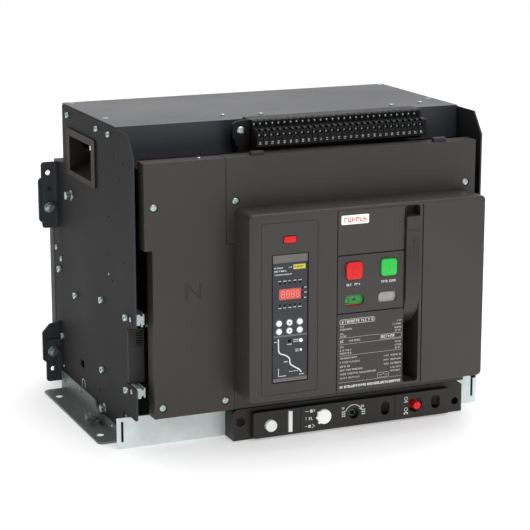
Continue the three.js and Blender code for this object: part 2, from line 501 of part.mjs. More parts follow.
// Sliding indicator flags behind the two windows.
const flag = (x0, x1) => union(box(x0, x1, -58.6, -56.6, 176.4, 211.6), box((x0 + x1) / 2 - 3, (x0 + x1) / 2 + 3, -57, -24, 188, 194));
add('contact_flag', flag(278, 314), 'green');
add('spring_flag', flag(330, 364), 'white');

// Charging handle.
const handleProfile = [
  [-68, 314], [-68, 296.4], [-66.2, 295.6], [-66.2, 293], [-67, 292.2], [-67, 204], [-65, 192], [-60.5, 178], [-52, 167], [-41, 158.5], [-28, 152.5],
  [-20.5, 148.5], [-17, 143], [-15, 130], [-11.5, 110], [-8, 92], [-4.5, 84.6], [3, 82.4], [10, 84.6], [14, 92], [12.5, 100], [4, 122], [-1, 142], [-4, 152], [-9, 160],
  [-21, 168], [-31, 175], [-40, 184], [-46.5, 193], [-50.5, 205], [-52, 218], [-52, 311], [-54, 314.6],
];
add('charging_handle', prismX(handleProfile, 372.8, 393.9, []).subtract(cyl('x', HANDLE_PIVOT, 4.3, 370, 400, 12)), 'cover');
// Mechanism frame: the pivot pin bracket behind the fascia.
const bracket = union(
  box(366, 369, -8, 99.4, 78, 292), box(397.6, 400.6, -8, 99.4, 78, 292), box(366, 400.6, 94, 99.4, 100, 292),
  cyl('x', HANDLE_PIVOT, 4, 366.5, 400, 12),
);
add('mechanism_bracket', cut(bracket, cyl('x', SHAFT, 15, 360, 410, 16), cyl('x', CAM, 8.6, 360, 410, 16)), 'zinc');

// ---- place the cradle frame at the origin ---------------------------------------------
const bounds = new THREE.Box3().setFromObject(cradleFrame);
cradleFrame.position.set(-W / 2, -(bounds.min.y + bounds.max.y) / 2, 0);
const group = new THREE.Group();
group.name = 'air_circuit_breaker';
group.add(cradleFrame);
group.updateMatrixWorld(true);
export default group;
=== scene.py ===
import bpy, bmesh, math, random
from mathutils import Vector, Matrix, Euler


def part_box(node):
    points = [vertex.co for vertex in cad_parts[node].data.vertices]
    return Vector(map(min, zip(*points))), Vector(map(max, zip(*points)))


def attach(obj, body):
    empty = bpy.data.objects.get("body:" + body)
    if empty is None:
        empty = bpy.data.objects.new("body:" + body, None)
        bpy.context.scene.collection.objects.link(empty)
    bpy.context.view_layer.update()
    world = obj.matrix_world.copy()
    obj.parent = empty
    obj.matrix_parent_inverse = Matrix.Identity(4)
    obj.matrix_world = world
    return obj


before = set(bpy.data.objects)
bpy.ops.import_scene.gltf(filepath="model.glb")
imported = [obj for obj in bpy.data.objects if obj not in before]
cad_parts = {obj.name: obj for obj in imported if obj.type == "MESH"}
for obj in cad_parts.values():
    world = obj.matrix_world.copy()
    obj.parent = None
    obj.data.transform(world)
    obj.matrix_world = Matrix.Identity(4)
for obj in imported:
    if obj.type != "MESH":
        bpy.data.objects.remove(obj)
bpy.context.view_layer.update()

rnd = random.Random(7)

# ---- cradle frame: millimetres, x from the left plate, y from the plates' front edge ----
W = 525.56
_lo, _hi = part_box("cradle_side_plate_left")
_rlo, _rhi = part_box("cradle_side_plate_right")
X0 = (_lo[0] + _rhi[0]) / 2 - W / 2000.0        # left plate outer face
Y0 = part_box("cradle_top_cover")[0][1] - 0.0716
YF, YC = -62.6, -11.2                             # fascia and cover faces


def V(x, y, z):
    return Vector((X0 + x / 1000.0, Y0 + y / 1000.0, z / 1000.0))


# =================================================================== materials
def new_mat(name):
    m = bpy.data.materials.new(name)
    m.use_nodes = True
    nt = m.node_tree
    for n in list(nt.nodes):
        nt.nodes.remove(n)
    out = nt.nodes.new("ShaderNodeOutputMaterial")
    b = nt.nodes.new("ShaderNodeBsdfPrincipled")
    nt.links.new(b.outputs[0], out.inputs[0])
    return m, nt, b


def coord(nt, scale=(1, 1, 1)):
    tc = nt.nodes.new("ShaderNodeTexCoord")
    mp = nt.nodes.new("ShaderNodeMapping")
    mp.inputs["Scale"].default_value = scale
    nt.links.new(tc.outputs["Object"], mp.inputs["Vector"])
    return mp.outputs["Vector"]


def noise(nt, vec, scale, detail=2.0, rough=0.5):
    n = nt.nodes.new("ShaderNodeTexNoise")
    n.inputs["Scale"].default_value = scale
    n.inputs["Detail"].default_value = detail
    n.inputs["Roughness"].default_value = rough
    nt.links.new(vec, n.inputs["Vector"])
    return n.outputs["Fac"]


def ramp(nt, fac, stops):
    r = nt.nodes.new("ShaderNodeValToRGB")
    e = r.color_ramp.elements
    while len(e) > 1:
        e.remove(e[-1])
    for i, (p, c) in enumerate(stops):
        el = e[0] if i == 0 else e.new(p)
        el.position = p
        el.color = (*c, 1.0) if len(c) == 3 else c
    nt.links.new(fac, r.inputs["Fac"])
    return r.outputs["Color"]


def maprange(nt, fac, a, b, c, d):
    m = nt.nodes.new("ShaderNodeMapRange")
    m.inputs[1].default_value, m.inputs[2].default_value = a, b
    m.inputs[3].default_value, m.inputs[4].default_value = c, d
    nt.links.new(fac, m.inputs[0])
    return m.outputs[0]


def mixcol(nt, fac, a, b, mode="MIX"):
    m = nt.nodes.new("ShaderNodeMix")
    m.data_type = "RGBA"
    m.blend_type = mode
    for sock, val in ((m.inputs[0], fac), (m.inputs[6], a), (m.inputs[7], b)):
        if hasattr(val, "default_value") and not isinstance(val, (tuple, float)):
            nt.links.new(val, sock)
        elif isinstance(val, tuple):
            sock.default_value = (*val, 1.0)
        else:
            sock.default_value = val
    return m.outputs[2]


def bump(nt, bsdf, height, dist, strength=1.0, bevel=0.0, prev=None):
    b = nt.nodes.new("ShaderNodeBump")
    b.inputs["Strength"].default_value = strength
    b.inputs["Distance"].default_value = dist
    nt.links.new(height, b.inputs["Height"])
    if prev is not None:
        nt.links.new(prev, b.inputs["Normal"])
    nt.links.new(b.outputs["Normal"], bsdf.inputs["Normal"])
    return b.outputs["Normal"]


def shade(c, k):
    return tuple(max(0.0, min(1.0, v * k)) for v in c)


def plastic(name, color, rough=0.5, grain=900.0, depth=0.00006, var=0.07, spec=0.5, coat=0.0):
    """Moulded plastic: spark-eroded grain, faint mottling and roughness variation."""
    m, nt, b = new_mat(name)
    v = coord(nt)
    big = noise(nt, v, 9.0, 3.0)
    fine = noise(nt, v, grain, 2.0, 0.6)
    mid = noise(nt, v, 120.0, 3.0)
    col = ramp(nt, big, [(0.3, shade(color, 1 - var)), (0.7, shade(color, 1 + var))])
    col = mixcol(nt, maprange(nt, fine, 0.35, 0.75, 0.0, 0.22), col, shade(color, 1.25))
    nt.links.new(col, b.inputs["Base Color"])
    nt.links.new(maprange(nt, mid, 0.3, 0.7, rough - 0.05, rough + 0.06), b.inputs["Roughness"])
    b.inputs["Specular IOR Level"].default_value = spec
    b.inputs["Coat Weight"].default_value = coat
    bump(nt, b, fine, depth, 0.55)
    return m


def powder(name, color, rough=0.5, var=0.05, spec=0.5, top_sheen=0.0):
    """Powder-coated sheet: fine orange peel, slight sheen change, and optional painted sheen on faces that point up."""
    m, nt, b = new_mat(name)
    v = coord(nt)
    big = noise(nt, v, 6.0, 3.0)
    peel = noise(nt, v, 420.0, 1.0, 0.4)
    spk = noise(nt, v, 1500.0, 1.0, 0.5)
    col = ramp(nt, big, [(0.3, shade(color, 1 - var)), (0.7, shade(color, 1 + var))])
    col = mixcol(nt, maprange(nt, spk, 0.55, 0.8, 0.0, 0.3), col, shade(color, 1.35))
    nt.links.new(col, b.inputs["Base Color"])
    nt.links.new(maprange(nt, big, 0.3, 0.7, rough - 0.05, rough + 0.05), b.inputs["Roughness"])
    b.inputs["Specular IOR Level"].default_value = spec
    if top_sheen > 0:
        # painted sheen: faces that point up are mixed toward a pale bluish grey, standing in for the light they catch
        # from above; noise makes it uneven
        geo = nt.nodes.new("ShaderNodeNewGeometry")
        sep = nt.nodes.new("ShaderNodeSeparateXYZ")
        nt.links.new(geo.outputs["Normal"], sep.inputs[0])
        up_sheen_mix = nt.nodes.new("ShaderNodeMath")
        up_sheen_mix.operation = "MULTIPLY"
        nt.links.new(maprange(nt, sep.outputs[2], 0.6, 0.95, 0.0, top_sheen), up_sheen_mix.inputs[0])
        nt.links.new(maprange(nt, noise(nt, v, 3.0, 2.0), 0.25, 0.75, 0.6, 1.0), up_sheen_mix.inputs[1])
        nt.links.new(mixcol(nt, up_sheen_mix.outputs[0], col, (0.32, 0.325, 0.34)), b.inputs["Base Color"])
    bump(nt, b, peel, 0.00005, 0.5)
    return m


def zinc(name, color=(0.62, 0.68, 0.66), rough=0.42, brushed=(1, 1, 1), metal=0.75):
    """Zinc-plated steel: soft spangle, rolling lines and a milky passivation."""
    m, nt, b = new_mat(name)
    v = coord(nt)
    vb = coord(nt, brushed)
    cloud = noise(nt, v, 28.0, 4.0, 0.6)
    lines = noise(nt, vb, 500.0, 2.0, 0.6)
    vo = nt.nodes.new("ShaderNodeTexVoronoi")
    vo.inputs["Scale"].default_value = 160.0
    nt.links.new(v, vo.inputs["Vector"])
    col = ramp(nt, cloud, [(0.25, shade(color, 0.86)), (0.75, shade(color, 1.1))])
    col = mixcol(nt, maprange(nt, vo.outputs["Distance"], 0.0, 0.8, 0.0, 0.18), col, shade(color, 0.82))
    nt.links.new(col, b.inputs["Base Color"])
    b.inputs["Metallic"].default_value = metal
    nt.links.new(maprange(nt, lines, 0.3, 0.7, rough - 0.07, rough + 0.09), b.inputs["Roughness"])
    bump(nt, b, lines, 0.00003, 0.35)
    return m


def metal(name, color, rough=0.3, scale=(1, 1, 1), var=0.1):
    m, nt, b = new_mat(name)
    vb = coord(nt, scale)
    v = coord(nt)
    lines = noise(nt, vb, 700.0, 2.0, 0.6)
    cloud = noise(nt, v, 45.0, 3.0)
    col = ramp(nt, cloud, [(0.3, shade(color, 1 - var)), (0.7, shade(color, 1 + var))])
    nt.links.new(col, b.inputs["Base Color"])
    b.inputs["Metallic"].default_value = 1.0
    nt.links.new(maprange(nt, lines, 0.3, 0.7, rough - 0.06, rough + 0.08), b.inputs["Roughness"])
    bump(nt, b, lines, 0.00002, 0.3)
    return m


def paint(name, color, rough=0.5, emit=0.0):
    """Pad-printed ink or a small lit area: slight unevenness, no grain."""
    m, nt, b = new_mat(name)
    v = coord(nt)
    n1 = noise(nt, v, 700.0, 2.0)
    col = ramp(nt, n1, [(0.25, shade(color, 0.9)), (0.75, shade(color, 1.05))])
    nt.links.new(col, b.inputs["Base Color"])
    nt.links.new(maprange(nt, n1, 0.3, 0.7, rough - 0.05, rough + 0.05), b.inputs["Roughness"])
    if emit > 0:
        b.inputs["Emission Color"].default_value = (*color, 1)
        b.inputs["Emission Strength"].default_value = emit
    return m


M = {
    "plate": powder("m_plate", (0.0245, 0.0235, 0.0245), 0.6, spec=0.07),
    "cover": plastic("m_cover", (0.037, 0.034, 0.032), 0.42, spec=0.36),
    "fascia": plastic("m_fascia", (0.044, 0.041, 0.038), 0.4, spec=0.36),
    # the top sheet gets painted sheen on its faces that point up
    "topsheet": powder("m_topsheet", (0.011, 0.0125, 0.0165), 0.4, spec=0.42, top_sheen=0.115),
    # one zinc plating in lit and shaded copies: m_zinc, near-white and barely metallic, is painted light; m_zinc_y is
    # the middle tone; the darker zinc_d copy for the base rails is painted shade
    "zinc": zinc("m_zinc", (0.79, 0.87, 0.855), brushed=(0.05, 1, 1), metal=0.1),
    "zinc_y": zinc("m_zinc_y", (0.5, 0.56, 0.545), brushed=(1, 0.05, 1), metal=0.6),
    "zinc_d": zinc("m_zinc_shaded", (0.17, 0.195, 0.185), 0.4, brushed=(1, 0.05, 1), metal=0.45),
    "rear": plastic("m_rear", (0.014, 0.0155, 0.019), 0.55, grain=600, spec=0.3),
    "thermoset": plastic("m_thermoset", (0.0075, 0.005, 0.005), 0.6, grain=350, var=0.15, spec=0.15),
    "thermored": plastic("m_thermored", (0.045, 0.008, 0.007), 0.55, grain=350, var=0.15, spec=0.3),
    "panel": plastic("m_panel", (0.026, 0.0235, 0.022), 0.42, spec=0.33),
    "slate": plastic("m_slate", (0.034, 0.036, 0.044), 0.4, grain=1400, depth=0.00003, spec=0.35),
    "terminal": metal("m_terminal", (0.62, 0.62, 0.6), 0.32, (1, 0.05, 1)),
    "red": plastic("m_red", (0.74, 0.010, 0.010), 0.35, grain=1600, depth=0.00002, spec=0.35),
    "reddark": plastic("m_red_emboss", (0.6, 0.008, 0.009), 0.4, grain=1600, depth=0.00002, spec=0.3),
    "green": plastic("m_green", (0.03, 0.56, 0.075), 0.35, grain=1600, depth=0.00002, spec=0.35),
    "greenemb": plastic("m_green_emboss", (0.022, 0.46, 0.065), 0.4, grain=1600, depth=0.00002, spec=0.3),
    "white": plastic("m_white", (0.94, 0.95, 0.94), 0.4, grain=1600, depth=0.00002),
    "redrod": plastic("m_red_rod", (0.9, 0.016, 0.013), 0.35, grain=1600, depth=0.00002, spec=0.35),
    "socket": metal("m_socket", (0.07, 0.1, 0.1), 0.35, (1, 1, 1)),
    "steel": metal("m_steel", (0.42, 0.45, 0.45), 0.3, (1, 0.05, 1)),
    "steeldim": metal("m_steel_dim", (0.3, 0.36, 0.37), 0.28, (1, 1, 1)),
    "black": plastic("m_black", (0.0075, 0.0065, 0.006), 0.48, grain=1200, spec=0.22),
    "handlegrey": plastic("m_rail_handle", (0.042, 0.04, 0.039), 0.5, grain=900, spec=0.3),
    "grip": plastic("m_grip", (0.021, 0.0175, 0.0155), 0.55, grain=500, spec=0.2),
    "arc": plastic("m_arc", (0.012, 0.006, 0.005), 0.6, grain=300, var=0.12, spec=0.2),
    "spring": metal("m_spring", (0.2, 0.21, 0.21), 0.35),
    "copper": metal("m_copper", (0.66, 0.6, 0.52), 0.32, (1, 0.05, 1)),
    "screw": metal("m_screw", (0.46, 0.53, 0.53), 0.3, (1, 1, 1), 0.05),
    "dark": plastic("m_dark", (0.0035, 0.0035, 0.0035), 0.6, spec=0.1),
    "ink": paint("m_ink", (0.8, 0.82, 0.8), 0.5),
    "inkgrey": paint("m_inkgrey", (0.26, 0.26, 0.26), 0.5),
    "inkmid": paint("m_inkmid", (0.62, 0.63, 0.63), 0.5),
    "inkkey": paint("m_inkkey", (0.66, 0.67, 0.66), 0.5),
    "zincbright": zinc("m_zinc_bright", (0.86, 0.94, 0.92), brushed=(1, 1, 1), metal=0.05),
    "inkdim": paint("m_inkdim", (0.12, 0.12, 0.125), 0.5),
    "bargrey": plastic("m_bargrey", (0.15, 0.147, 0.14), 0.42, grain=1400, depth=0.00003, spec=0.35),
    "orange": paint("m_orange", (0.8, 0.13, 0.02), 0.4),
    "yellow": paint("m_yellow", (0.66, 0.6, 0.05), 0.4),
    "display": paint("m_display", (0.62, 0.085, 0.06), 0.25, 0.12),
    "digit": paint("m_digit", (0.85, 0.3, 0.25), 0.3, 0.15),
    "led": paint("m_led", (0.02, 0.02, 0.022), 0.25),
    "darkgreen": plastic("m_darkgreen", (0.04, 0.27, 0.055), 0.35, grain=1500, depth=0.00002, spec=0.35),
    "flaggrey": plastic("m_flaggrey", (0.4, 0.4, 0.4), 0.4, grain=1500, depth=0.00002, spec=0.35),
}
def front_painted_reflection(mat, color, amount):
    """painted reflection: mix a second, lighter colour into the faces that point to the front (-Y), standing in for the
    light they catch from the front
    """
    nt = mat.node_tree
    b = nt.nodes["Principled BSDF"]
    geo = nt.nodes.new("ShaderNodeNewGeometry")
    sep = nt.nodes.new("ShaderNodeSeparateXYZ")
    nt.links.new(geo.outputs["Normal"], sep.inputs[0])
    fac = maprange(nt, sep.outputs[1], -0.95, -0.6, amount, 0.0)
    old = b.inputs["Base Color"].links[0].from_socket
    rgb = nt.nodes.new("ShaderNodeRGB")
    rgb.outputs[0].default_value = (*color, 1)
    nt.links.new(mixcol(nt, fac, old, rgb.outputs[0]), b.inputs["Base Color"])


# painted reflection: the front faces of the side plates, top sheet and rear parts are lightened toward a bluish grey
front_painted_reflection(M["plate"], (0.062, 0.066, 0.08), 0.75)
front_painted_reflection(M["topsheet"], (0.04, 0.043, 0.052), 0.75)
front_painted_reflection(M["rear"], (0.045, 0.05, 0.058), 0.6)
# painted light: the white plastic and the bright zinc get a small emission, so they glow brighter than the lamps light
# them
for k_, e_ in (("white", 0.2), ("zincbright", 0.12)):
    b_ = M[k_].node_tree.nodes["Principled BSDF"]
    b_.inputs["Emission Color"].default_value = (0.92, 0.95, 0.94, 1)
    b_.inputs["Emission Strength"].default_value = e_
NODE_MAT = [
    ("cradle_side_plate", "plate", 0.25), ("hand_grip", "grip", 0.8), ("base_rail", "zinc_d", 0.25),
    ("cradle_floor_plate", "zinc", 0.25), ("cradle_top_cover", "topsheet", 0.3), ("cradle_rear_base", "rear", 0.6),
    ("terminal_", "terminal", 0.6), ("secondary_terminal", "black", 0.12), ("rail_guide", "zinc_y", 0.25),
    ("racking_panel", "panel", 0.3), ("extension_rail", "zinc_y", 0.25), ("rail_handle", "handlegrey", 0.15),
    ("pole_housing", "thermoset", 0.6), ("arc_chute", "arc", 0.6), ("contact_cluster", "copper", 0.25),
    ("closing_spring", "spring", 0), ("neutral_pole_cover", "cover", 0.3), ("front_cover", "cover", 0.3),
    ("front_fascia", "fascia", 0.12), ("trip_unit", "slate", 0.15), ("mechanism_bracket", "zinc", 0.2),
    ("racking_screw", "socket", 0.2), ("racking_nut_bar", "steel", 0.4), ("position_knob", "white", 0.25),
    ("release_button", "redrod", 0.5), ("padlock_tab", "zincbright", 0.3), ("lock_plunger", "zincbright", 0.6),
    ("shutter", "rear", 0.3), ("pole_shaft", "steel", 0.3), ("ratchet_camshaft", "steel", 0.2),
    ("contact_flag", "darkgreen", 0.2), ("spring_flag", "flaggrey", 0.2), ("on_button", "green", 0),
    ("off_button", "red", 0), ("reset_button", "red", 0), ("charging_handle", "cover", 0.5), ("trip_key", "white", 0.3),
]


def node_obj(name):
    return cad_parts[name]


def dress(ob, mat, bevel):
    me = ob.data
    if len(ob.material_slots):
        for s in ob.material_slots:
            s.material = mat
    else:
        me.materials.append(mat)
    if "custom_normal" in me.attributes:
        me.attributes.remove(me.attributes["custom_normal"])
    me.polygons.foreach_set("use_smooth", [True] * len(me.polygons))
    wd = ob.modifiers.new("weld", "WELD")
    wd.merge_threshold = 0.000004
    me.set_sharp_from_angle(angle=math.radians(38))
    if bevel:
        bv = ob.modifiers.new("edge", "BEVEL")
        bv.width = bevel / 1000.0
        bv.segments = 2
        bv.limit_method = "ANGLE"
        bv.angle_limit = math.radians(52)
        bv.use_clamp_overlap = True
        bv.harden_normals = True


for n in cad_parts:
    for pre, mk, bev in NODE_MAT:
        if n.startswith(pre):
            dress(node_obj(n), M[mk], bev)
            break

# =================================================================== mesh helpers
def finish_bm(name, bm, mat, body, smooth=38):
    bmesh.ops.recalc_face_normals(bm, faces=bm.faces)
    me = bpy.data.meshes.new(name)
    bm.to_mesh(me)
    bm.free()
    me.materials.append(M[mat])
    me.polygons.foreach_set("use_smooth", [True] * len(me.polygons))
    me.set_sharp_from_angle(angle=math.radians(smooth))
    ob = bpy.data.objects.new(name, me)
    bpy.context.scene.collection.objects.link(ob)
    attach(ob, body)
    return ob


def frame_from(direction, origin):
    d = Vector(direction).normalized()
    up = Vector((0, 0, 1)) if abs(d.z) < 0.9 else Vector((0, 1, 0))
    x = up.cross(d).normalized()
    y = d.cross(x)
    m = Matrix((x, y, d)).transposed().to_4x4()
    m.translation = origin
    return m


def add_lathe(bm, profile, mtx, seg=24, spin=0.0):
    """profile: (r, h) in mm from the axis at the bottom to the axis at the top."""
    rings = []
    for r, h in profile:
        if r < 1e-6:
            rings.append([bm.verts.new(mtx @ Vector((0, 0, h / 1000)))])
        else:
            rings.append([bm.verts.new(mtx @ Vector((r / 1000 * math.cos(2 * math.pi * i / seg + spin), r / 1000 * math.sin(2 * math.pi * i / seg + spin), h / 1000))) for i in range(seg)])
    for a, b in zip(rings, rings[1:]):
        if len(a) == 1 and len(b) == 1:
            continue
        for i in range(seg):
            j = (i + 1) % seg
            if len(a) == 1:
                bm.faces.new((a[0], b[j], b[i]))
            elif len(b) == 1:
                bm.faces.new((a[i], a[j], b[0]))
            else:
                bm.faces.new((a[i], a[j], b[j], b[i]))


def add_prism(bm, outline, mtx, h0, h1):
    """closed prism from a polygon in the local XY plane (mm)."""
    lo = [bm.verts.new(mtx @ Vector((x / 1000, y / 1000, h0 / 1000))) for x, y in outline]
    hi = [bm.verts.new(mtx @ Vector((x / 1000, y / 1000, h1 / 1000))) for x, y in outline]
    n = len(outline)
    bm.faces.new(list(reversed(lo)))
    bm.faces.new(hi)
    for i in range(n):
        j = (i + 1) % n
        bm.faces.new((lo[i], lo[j], hi[j], hi[i]))


def add_ring(bm, outer, inner, mtx, h0, h1):
    n = len(outer)
    def row(pts, h):
        return [bm.verts.new(mtx @ Vector((x / 1000, y / 1000, h / 1000))) for x, y in pts]
    a, b, c, d = row(outer, h0), row(outer, h1), row(inner, h1), row(inner, h0)
    for i in range(n):
        j = (i + 1) % n
        bm.faces.new((a[i], a[j], b[j], b[i]))
        bm.faces.new((b[i], b[j], c[j], c[i]))
        bm.faces.new((c[i], c[j], d[j], d[i]))
        bm.faces.new((d[i], d[j], a[j], a[i]))


# local frame on a front-facing surface: local x -> +X, local y -> +Z, out -> -Y
def front(y):
    m = Matrix(((1, 0, 0, 0), (0, 0, -1, 0), (0, 1, 0, 0), (0, 0, 0, 1)))
    m.translation = V(0, y, 0)
    return m


def left_face(x=0.0):   # faces -X: local x -> -Y?  outline given as (y, z)
    m = Matrix(((0, 0, -1, 0), (1, 0, 0, 0), (0, 1, 0, 0), (0, 0, 0, 1)))
    m = Matrix(((0, 0, -1, 0), (1, 0, 0, 0), (0, 1, 0, 0), (0, 0, 0, 1)))
    m.translation = V(x, 0, 0)
    return m


def top_face(z):
    m = Matrix.Identity(4)
    m.translation = V(0, 0, z)
    return m


def rr(x0, x1, z0, z1, r, n=5):
    pts = []
    for cx, cz, a0 in ((x1 - r, z1 - r, 0), (x0 + r, z1 - r, 90), (x0 + r, z0 + r, 180), (x1 - r, z0 + r, 270)):
        for i in range(n + 1):
            a = math.radians(a0 + 90 * i / n)
            pts.append((cx + r * math.cos(a), cz + r * math.sin(a)))
    return pts


def circ(cx, cz, r, n=32):
    return [(cx + r * math.cos(2 * math.pi * i / n), cz + r * math.sin(2 * math.pi * i / n)) for i in range(n)]


def rect(x0, x1, z0, z1):
    return [(x0, z0), (x1, z0), (x1, z1), (x0, z1)]


def stroke(pts, w):
    """one ribbon polygon along a polyline"""
    L, R = [], []
    n = len(pts)
    for i, p in enumerate(pts):
        p = Vector(p)
        d1 = (Vector(pts[i]) - Vector(pts[i - 1])).normalized() if i > 0 else None
        d2 = (Vector(pts[i + 1]) - Vector(pts[i])).normalized() if i < n - 1 else None
        d = (d1 or d2) if (d1 is None or d2 is None) else (d1 + d2).normalized()
        nrm = Vector((-d.y, d.x))
        k = 1.0
        if d1 is not None and d2 is not None:
            k = 1.0 / max(0.4, nrm.dot(Vector((-d1.y, d1.x))))
        L.append(tuple(p + nrm * w / 2 * k))
        R.append(tuple(p - nrm * w / 2 * k))
    return L + R[::-1]


class Marks:
    """thin printed shapes on one plane, gathered into one mesh per colour"""
    def __init__(self, name, body, slot, mtx, mat, h0=-0.02, h1=0.05):
        self.a = (name, body, slot, mat)
        self.m, self.h0, self.h1 = mtx, h0, h1
        self.bm = bmesh.new()
    def poly(self, pts):
        area = sum(pts[i - 1][0] * pts[i][1] - pts[i][0] * pts[i - 1][1] for i in range(len(pts)))
        if area < 0:
            pts = pts[::-1]
        add_prism(self.bm, pts, self.m, self.h0, self.h1)
    def ring(self, outer, inner):
        add_ring(self.bm, outer, inner, self.m, self.h0, self.h1)
    def line(self, pts, w):
        self.poly(stroke(pts, w))
    def words(self, x0, x1, z, h, dens=0.85, cell=1.0):
        """a row of small unreadable blocks standing for a printed line"""
        x = x0
        while x < x1 - 0.3:
            wd = rnd.uniform(0.45, 1.0) * cell
            if x + wd > x1:
                break
            hh = h * rnd.choice((0.75, 1.0, 1.0, 0.9))
            self.poly(rect(x, x + wd, z - h / 2, z - h / 2 + hh))
            x += wd + (0.28 * cell if rnd.random() < dens else 1.1 * cell)
    def glyphs(self, x0, x1, z, h, t=None, gap=0.24):
        """a row of unreadable letter-like marks: upright and level bars"""
        t = t or max(0.26, 0.16 * h)
        w, x, e = 0.58 * h, x0, 0.03
        zb, zt = z - h / 2, z + h / 2
        while x + w <= x1 + 0.2:
            kind = rnd.choice((0, 0, 1, 1, 2, 3))
            left, right = kind != 3, kind in (1, 2)
            if left:
                self.poly(rect(x, x + t, zb, zt))
            if right:
                self.poly(rect(x + w - t, x + w, zb + (0.0 if kind == 1 else h * 0.45), zt))
            if kind == 3:
                self.poly(rect(x + w / 2 - t / 2, x + w / 2 + t / 2, zb, zt - t - e))
                self.poly(rect(x, x + w, zt - t, zt))
            else:
                xa, xb = x + t + e, x + w - (t + e if right else 0.0)
                for lv in rnd.sample((zb, z - t / 2, zt - t), rnd.choice((1, 2, 2))):
                    self.poly(rect(xa, xb, lv, lv + t))
            x += w + gap * h + (0.45 * h if rnd.random() < 0.12 else 0.0)
    def done(self):
        name, body, slot, mat = self.a
        return finish_bm(name, self.bm, mat, body)


def text_mesh(items, mtx, size, body, mat, name, h=0.05, turn=0.0):
    """generic digits or single letters; items: (string, x, z) centred"""
    bm = bmesh.new()
    for s, x, z in items:
        cu = bpy.data.curves.new("t", "FONT")
        cu.body = s
        cu.size = size / 1000.0
        cu.align_x = "CENTER"
        cu.align_y = "CENTER"
        cu.extrude = h / 2000.0
        cu.resolution_u = 2
        ob = bpy.data.objects.new("t", cu)
        me = ob.to_mesh()
        tmp = bmesh.new()
        tmp.from_mesh(me)
        tmp.transform(mtx @ Matrix.Translation(Vector((x / 1000, z / 1000, h / 2000.0))) @ Matrix.Rotation(turn, 4, "Z"))
        tm = bpy.data.meshes.new("tm")
        tmp.to_mesh(tm)
        tmp.free()
        bm.from_mesh(tm)
        ob.to_mesh_clear()
        bpy.data.objects.remove(ob)
        bpy.data.curves.remove(cu)
        bpy.data.meshes.remove(tm)
    bmesh.ops.remove_doubles(bm, verts=bm.verts, dist=1e-7)
    return finish_bm(name, bm, mat, body)


# ------------------------------------------------------------------- fasteners
def boolean_cut(bm_a, bm_b):
    ma, mb = bpy.data.meshes.new("ba"), bpy.data.meshes.new("bb")
    bmesh.ops.recalc_face_normals(bm_a, faces=bm_a.faces)
    bmesh.ops.recalc_face_normals(bm_b, faces=bm_b.faces)
    bm_a.to_mesh(ma); bm_b.to_mesh(mb)
    oa, ob = bpy.data.objects.new("ba", ma), bpy.data.objects.new("bb", mb)
    for o in (oa, ob):
        bpy.context.scene.collection.objects.link(o)
    mod = oa.modifiers.new("b", "BOOLEAN")
    mod.operation, mod.object, mod.solver = "DIFFERENCE", ob, "EXACT"
    dg = bpy.context.evaluated_depsgraph_get()
    res = bpy.data.meshes.new_from_object(oa.evaluated_get(dg))
    for o in (oa, ob):
        bpy.data.objects.remove(o)
    out = bmesh.new()
    out.from_mesh(res)
    bpy.data.meshes.remove(res)
    bpy.data.meshes.remove(ma); bpy.data.meshes.remove(mb)
    return out


def master_cross(r, h, recess=0.62, depth=None):
    a = bmesh.new()
    add_lathe(a, [(0, -0.6), (r, -0.6), (r, 0.25 * h), (r * 0.93, 0.62 * h), (r * 0.72, 0.9 * h), (r * 0.4, h), (0, h)], Matrix.Identity(4), 28)
    b = bmesh.new()
    d = depth or h * 0.75
    for k in range(2):
        w, L = r * 0.17, r * recess
        pts = [(-L, -w), (L, -w), (L, w), (-L, w)] if k == 0 else [(-w, -L), (w, -L), (w, L), (-w, L)]
        b2 = bmesh.new()
        add_prism(b2, pts, Matrix.Identity(4), h - d, h + 1)
        a = boolean_cut(a, b2)
        b2.free()
    b.free()
    return a


def master_hex(r_head, h, r_washer, h_washer):
    a = bmesh.new()
    if r_washer:
        add_lathe(a, [(0, -0.3), (r_washer, -0.3), (r_washer, h_washer * 0.8), (r_washer * 0.97, h_washer), (0, h_washer)], Matrix.Identity(4), 36)
    c = r_head
    prof = []
    # hexagon with a turned chamfer: rings of the hexagon clipped by a circle near the top
    def ring_at(hh, clip):
        pts = []
        for i in range(36):
            t = 2 * math.pi * i / 36
            rad = c * math.cos(math.pi / 6) / math.cos(((t + math.pi / 6) % (math.pi / 3)) - math.pi / 6)
            rad = min(rad, clip)
            pts.append(a.verts.new(Vector((rad / 1000 * math.cos(t), rad / 1000 * math.sin(t), hh / 1000))))
        return pts
    base = h_washer if r_washer else -0.3
    rows = [ring_at(base, 99), ring_at(h - 0.14 * c, 99), ring_at(h - 0.04 * c, c * 0.93), ring_at(h, c * 0.84)]
    for p, q in zip(rows, rows[1:]):
        for i in range(36):
            j = (i + 1) % 36
            a.faces.new((p[i], p[j], q[j], q[i]))
    a.faces.new(rows[-1])
    a.faces.new(rows[0][::-1])
    return a


def master_socket(r, h):
    a = bmesh.new()
    add_lathe(a, [(0, -0.4), (r, -0.4), (r, h * 0.75), (r * 0.9, h), (r * 0.45, h), (r * 0.42, h * 0.3), (0, h * 0.25)], Matrix.Identity(4), 28)
    return a


def mesh_of(bm, name, mat):
    bmesh.ops.recalc_face_normals(bm, faces=bm.faces)
    me = bpy.data.meshes.new(name)
    bm.to_mesh(me)
    bm.free()
    me.materials.append(M[mat])
    me.polygons.foreach_set("use_smooth", [True] * len(me.polygons))
    me.set_sharp_from_angle(angle=math.radians(32))
    return me


